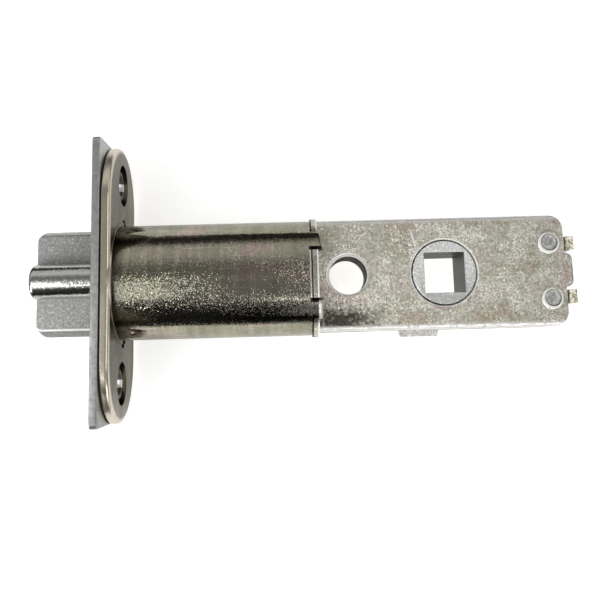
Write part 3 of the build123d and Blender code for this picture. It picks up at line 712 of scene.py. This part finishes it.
satin = lined_steel(
    "satin_steel", (0.7, 0.7, 0.68), rough=0.42, scale=(900, 2600, 700), contrast=0.3, depth=0.01 * MM
)
dress(satin, "faceplate")
# The nickel's base colour is kept very dark: painted shade, for the shaded table that the backplate's flat
# reflects.
nickel = lined_steel(
    "nickel_plate", (0.175, 0.15, 0.1), rough=0.24, scale=(160, 160, 90), contrast=0.25, depth=0.004 * MM
)
dress(nickel, "backplate")
polished = lined_steel(
    "polished_steel", (0.7, 0.69, 0.655), rough=0.15, scale=(60, 2200, 2200), contrast=0.12
)
crystal_faces(polished, size=0.14 * MM, tilt=0.22, share=0.5)
dress(polished, "deadlatch_plunger")

# %% Plain steel of the rivets, pins, sleeve and springs
turned = lined_steel(
    "turned_steel", (0.57, 0.57, 0.55), rough=0.42, scale=(1500, 200, 1500), contrast=0.45,
    depth=0.02 * MM, metal=0.5,
)
dress(turned, "upper_rear_rivet", "lower_rear_rivet")
plain = lined_steel(
    "plain_steel", (0.46, 0.46, 0.45), rough=0.36, scale=(700, 700, 700), contrast=0.25, depth=0.005 * MM
)
dress(plain, "lever_pivot_pin", "fork_pin", "upper_drive_pin", "lower_drive_pin", "deadlock_lever")
# The sleeve's near-black colour is painted shade inside the round hole.
shaded_bore = lined_steel(
    "shaded_bore", (0.03, 0.03, 0.028), rough=0.6, scale=(500, 120, 500), contrast=0.3,
    depth=0.01 * MM, metal=0.2,
)
dress(shaded_bore, "through_sleeve")
wire = lined_steel(
    "spring_wire", (0.36, 0.36, 0.37), rough=0.3, scale=(500, 500, 500), contrast=0.2, depth=0.003 * MM
)
dress(wire, "bolt_spring", "plunger_spring", "lever_spring")

# %% [markdown]
# The riveting punch has set a shallow dish in each rivet: dark at the outer edge and towards the
# middle, with a bright ring between them. The dish is so shallow that only its shade shows, so it is
# drawn in the finish. The two rivets share it, so the smaller one of two distances is used.

# %% Dished rivet ends
RIVET_REACH = (1.75, 1.75)
tree, shader, place = reopen(turned)
upper = away_from(tree, place, centre=(91.25, 5.7), reach=RIVET_REACH)
lower = away_from(tree, place, centre=(91.25, -5.5), reach=RIVET_REACH)
off_rivet = calc(tree, "MINIMUM", upper, lower)
dish = ramp(tree, off_rivet, (0.0, 0.95), (0.4, 0.8), (0.62, 1.3), (0.82, 1.1), (0.97, 0.45))
paint(tree, shader, 1.0, dish, "MULTIPLY")
print("rivet ends of", 2 * RIVET_REACH[0], "mm")

# %% [markdown]
# The sleeve in the round hole is painted nearly black as the shade inside it, and its turned-over end is
# painted bright as a highlight, like the rim.

# %% Painted highlight on the end of the sleeve
SLEEVE_END = 0.25 * MM
SLEEVE_HIGHLIGHT = (0.9, 0.89, 0.85)
sleeve_low, sleeve_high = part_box("through_sleeve")
half_long = (sleeve_high[1] - sleeve_low[1]) / 2
tree, shader, place = reopen(shaded_bore)
from_half = from_middle(tree, axes(tree, place)["Y"], sleeve_low[1] + half_long)
paint(tree, shader, past(tree, from_half, half_long - SLEEVE_END), SLEEVE_HIGHLIGHT)
print("sleeve is", round(2 * half_long / MM, 1), "mm long")

# %% [markdown]
# The screw holes are dimpled into the faceplate, and the dimples stand in the backplate's holes. They are
# painted dark as the shade in the holes, apart from a spot at the height of the hole's middle that is
# painted bright as a glint. The lower end of the plate is darker.

# %% Painted shade and glint in the dimples of the screw holes
SCREW_Z = 20.65 * MM
DIMPLE_R = 4.6 * MM
DIMPLE_FROM_X = 1.5 * MM
SPOT_HALF = 0.8 * MM
FACEPLATE_HIGH = 57.15 * MM
HOLE_SHADE = (0.12, 0.115, 0.11)
DIMPLE_GLINT = (0.95, 0.95, 0.94)
tree, shader, place = reopen(satin)
at = axes(tree, place)
off_hole = calc(tree, "SUBTRACT", from_middle(tree, at["Z"]), SCREW_Z)
dimple = under(tree, distance(tree, at["Y"], off_hole), DIMPLE_R)
dimple = both(tree, dimple, past(tree, at["X"], DIMPLE_FROM_X))
glint_spot = both(tree, dimple, under(tree, from_middle(tree, off_hole), SPOT_HALF))
# The plate is made darker towards its lower end.
height = rising(tree, at["Z"], FACEPLATE_HIGH)
paint(tree, shader, 1.0, ramp(tree, height, (0.0, 0.68), (0.3, 0.95), (0.5, 1.0)), "MULTIPLY")
# The dimples are painted dark as shade, and a band across their middle bright as a glint.
paint(tree, shader, dimple, HOLE_SHADE)
paint(tree, shader, glint_spot, DIMPLE_GLINT)
print("dimples at z = +-", SCREW_Z / MM, "mm")

# %% [markdown]
# The backplate's rim was drawn over a punch. Its flat is painted dark as shade and the rim in a lighter warm
# tone as a highlight, so the rim shows brighter than the flat inside it. The rim is found by its distance
# from the straight line between the centres of the two round ends. Where the rim seats on the faceplate, a
# dark line is painted as the shadow in the groove between them.

# %% Painted shade and highlight of the backplate
RIM_HIGHLIGHT = (0.77, 0.7, 0.56)
SEAT_WIDE = 0.35 * MM
RIM_FROM = 0.9
plate_low, plate_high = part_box("backplate")
round_end = plate_high[1]
tree, shader, place = reopen(nickel)
at = axes(tree, place)
past_centre = calc(tree, "SUBTRACT", from_middle(tree, at["Z"]), plate_high[2] - round_end)
from_line = distance(tree, at["Y"], calc(tree, "MAXIMUM", past_centre, 0.0))
near_rim = calc(tree, "DIVIDE", from_line, round_end)
paint(tree, shader, ramp(tree, near_rim, (RIM_FROM, 0.0), (0.95, 1.0)), RIM_HIGHLIGHT)
# The line where the rim seats on the faceplate is painted dark as the shadow in the groove between them.
paint(tree, shader, under(tree, at["X"], plate_low[0] + SEAT_WIDE), OIL_AND_SHADE)
on_bend = ramp(tree, near_rim, (0.88, 0.0), (0.92, 0.5), (0.965, 0.5), (0.99, 0.08))
change_metal(tree, shader, on_bend, -1.0)
print("rim from", round(RIM_FROM * round_end / MM, 1), "mm off the middle line")

# %% [markdown]
# The springs shorten when the bolt or the plunger is pushed in, and the lever lifts the free end of its leaf
# spring. Their CAD solids are rigid; each is replaced by a merged copy that is shaded smooth and carried by
# the case, and the copy is not flattened.

# %% Smooth copies of the springs
WIRE_SMOOTH_BELOW = radians(50)
LEAF_KEEPS = 0.75


def springy(node, keep):
    """A merged copy of a spring, shaded smooth and carried by the case."""
    spring = merged_copy(node, "_live")
    bpy.ops.object.shade_smooth_by_angle(angle=WIRE_SMOOTH_BELOW)
    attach(spring, "lock_case")
    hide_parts(node)
    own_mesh(spring)
    print(node, "keeps", round(keep, 2), "of its length or height")


for node, joint in (("bolt_spring", "bolt_slide"), ("plunger_spring", "plunger_slide")):
    low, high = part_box(node)
    travel = next(j for j in frame["joints"] if j["name"] == joint)["range_m"][1]
    springy(node, 1 - travel / (high[0] - low[0]))
springy("lever_spring", LEAF_KEEPS)

# %% [markdown]
# The latch lies on a white table and is seen from straight above, so the "table" stands behind it in
# the frame of the door. The table is white to the camera and to shiny metal, and takes the soft
# shadow of the latch. It lets light through from behind, so that the hidden side is lit as well.

# %% White table behind the latch
TABLE_GAP = 0.3 * MM
TABLE_LOW = Vector((-0.035, -0.1))
TABLE_HIGH = Vector((0.16, 0.1))
table_size = TABLE_HIGH - TABLE_LOW
table_middle = (TABLE_HIGH + TABLE_LOW) / 2
bpy.ops.object.select_all(action="DESELECT")
bpy.ops.mesh.primitive_plane_add(size=1, rotation=(radians(90), 0, 0))
table = bpy.context.object
table.name = "table"
table.scale = (table_size.x, table_size.y, 1)
table.location = (table_middle.x, cad_box[1][1] + TABLE_GAP, table_middle.y)
print("table at y =", round(table.location.y / MM, 1), "mm")

# %% Glowing white paper of the table
GLOW_SEEN = 0.58
GLOW_IN_METAL = 0.12
PAPER = (0.8, 0.8, 0.8, 1)


def chosen(tree, factor, shader, other):
    """One shader where the factor is 0, and the other where it is 1."""
    node = tree.nodes.new("ShaderNodeMixShader")
    tree.links.new(factor, node.inputs["Fac"])
    tree.links.new(shader, node.inputs[1])
    tree.links.new(other, node.inputs[2])
    return node.outputs["Shader"]


table_white = bpy.data.materials.new("table_white")
table_white.use_nodes = True
tree = table_white.node_tree
tree.nodes.clear()
rays = tree.nodes.new("ShaderNodeLightPath").outputs
behind = tree.nodes.new("ShaderNodeNewGeometry").outputs["Backfacing"]
paper = tree.nodes.new("ShaderNodeBsdfDiffuse")
paper.inputs["Color"].default_value = PAPER
glow = tree.nodes.new("ShaderNodeEmission")
seen = calc(tree, "MULTIPLY", either(tree, rays["Is Camera Ray"], rays["Is Transmission Ray"]), GLOW_SEEN)
in_metal = calc(tree, "MULTIPLY", rays["Is Glossy Ray"], GLOW_IN_METAL)
tree.links.new(calc(tree, "ADD", seen, in_metal), glow.inputs["Strength"])
lit = tree.nodes.new("ShaderNodeAddShader")
tree.links.new(paper.outputs["BSDF"], lit.inputs[0])
tree.links.new(glow.outputs["Emission"], lit.inputs[1])
clear = tree.nodes.new("ShaderNodeBsdfTransparent").outputs["BSDF"]
lets_through = either(tree, behind, rays["Is Shadow Ray"])
output = tree.nodes.new("ShaderNodeOutputMaterial")
tree.links.new(chosen(tree, lets_through, lit.outputs["Shader"], clear), output.inputs["Surface"])
table.data.materials.append(table_white)
print(table_white.name, "glows at", GLOW_SEEN, "to the camera")

# %% [markdown]
# Bare metal shows what surrounds it. The long light and dark bands on the barrel and the plunger are
# reflections: a white table behind, a dark room above and below, and lighter strips in front. Cards and
# curtains could be modelled for that, but bands in the world are simpler to place. They go around the
# barrel's axis: straight behind is 0, below 0.25, in front 0.5 and above 0.75. The world is white to the
# camera, an even grey to matt surfaces, and banded to shiny ones.

# %% Room
BANDS = (
    (0.12, 0.4), (0.15, 0.05), (0.25, 0.02), (0.355, 0.02), (0.375, 0.26), (0.5, 0.3), (0.53, 0.18),
    (0.59, 0.18), (0.605, 0.5), (0.66, 0.6), (0.705, 0.5), (0.725, 0.02), (0.85, 0.05), (0.88, 0.4),
)
FILL = (0.56, 0.56, 0.56, 1)
WHITE = (1, 1, 1, 1)


def background(tree, color):
    """Light from all around, of one colour or of a socket's colours."""
    node = tree.nodes.new("ShaderNodeBackground")
    feed(tree, color, node.inputs["Color"])
    return node.outputs["Background"]


world = bpy.data.worlds.new("room")
bpy.context.scene.world = world
world.use_nodes = True
tree = world.node_tree
tree.nodes.clear()
rays = tree.nodes.new("ShaderNodeLightPath").outputs
toward = axes(tree, tree.nodes.new("ShaderNodeTexCoord").outputs["Generated"])
rise = calc(tree, "ARCTAN2", toward["Z"], calc(tree, "MULTIPLY", toward["Y"], -1.0))
around = rising(tree, rise, radians(360))
room = background(tree, ramp(tree, around, *BANDS))
softly = chosen(tree, rays["Is Diffuse Ray"], room, background(tree, FILL))
output = tree.nodes.new("ShaderNodeOutputWorld")
surroundings = chosen(tree, rays["Is Camera Ray"], softly, background(tree, WHITE))
tree.links.new(surroundings, output.inputs["Surface"])
print("room with", len(BANDS), "stops of light and dark")

# %% [markdown]
# Five soft lamps do the rest. The key lamp stands behind the camera, below it and towards the bolt. The
# rim lamp grazes the plates from below the bolt's end, two weak cards open up the underside and the rear
# of the case, and the back lamp shines through the table on the hidden side.

# %% Lamps
MIDDLE = Vector((0.04, 0, 0))


def softbox(name, place, width, height, watts):
    """A rectangular lamp that faces the middle of the latch."""
    lamp = bpy.data.lights.new(name, "AREA")
    lamp.shape = "RECTANGLE"
    lamp.size = width
    lamp.size_y = height
    lamp.energy = watts
    holder = bpy.data.objects.new(name, lamp)
    bpy.context.scene.collection.objects.link(holder)
    holder.location = place
    holder.rotation_euler = (MIDDLE - Vector(place)).to_track_quat("-Z", "Y").to_euler()
    print(name, watts, "W at", place)


softbox("key_lamp", (-0.218, -0.38, -0.155), width=0.2, height=0.28, watts=0.42)
softbox("rim_lamp", (-0.42, -0.16, -0.3), width=0.2, height=0.2, watts=1.6)
softbox("low_card", (0.125, -0.11, -0.23), width=0.16, height=0.16, watts=0.16)
softbox("side_card", (0.3, -0.3, 0.02), width=0.12, height=0.25, watts=0.16)
softbox("back_lamp", (0.0, 0.5, 0.3), width=0.6, height=0.4, watts=3.4)

# %% [markdown]
# The photograph was taken from in front of the latch's side, a little below its axis, with a normal
# lens. The camera could be placed by eye. Here its place, its turns and the lens were found by matching
# the plate's corners, the holes and the rivets of the CAD part to where they appear. The lens is
# shifted, because the photograph is a crop whose middle isn't the middle of the lens.

# %% Camera
CAMERA_PLACE = Vector((39.58, -170.98, -14.21)) * MM
VIEW_TILT = 9.408
VIEW_ROLL = -1.453
VIEW_TURN = 0.251
LENS = 49.136
SENSOR = 36.0
LENS_SHIFT = (0.01815, -0.1465)
NEAREST = 5 * MM
camera_data = bpy.data.cameras.new("camera")
camera_data.lens = LENS
camera_data.sensor_width = SENSOR
camera_data.clip_start = NEAREST
camera_data.shift_x, camera_data.shift_y = LENS_SHIFT
camera = bpy.data.objects.new("camera", camera_data)
bpy.context.scene.collection.objects.link(camera)
turn = Matrix.Rotation(radians(VIEW_TURN), 4, "Z") @ Matrix.Rotation(radians(90 + VIEW_TILT), 4, "X")
camera.matrix_world = Matrix.Translation(CAMERA_PLACE) @ turn @ Matrix.Rotation(radians(VIEW_ROLL), 4, "Z")
bpy.context.scene.camera = camera
bpy.context.scene.view_settings.view_transform = "Standard"
print("camera axes:", [[round(v, 4) for v in row[:3]] for row in camera.matrix_world][:3])
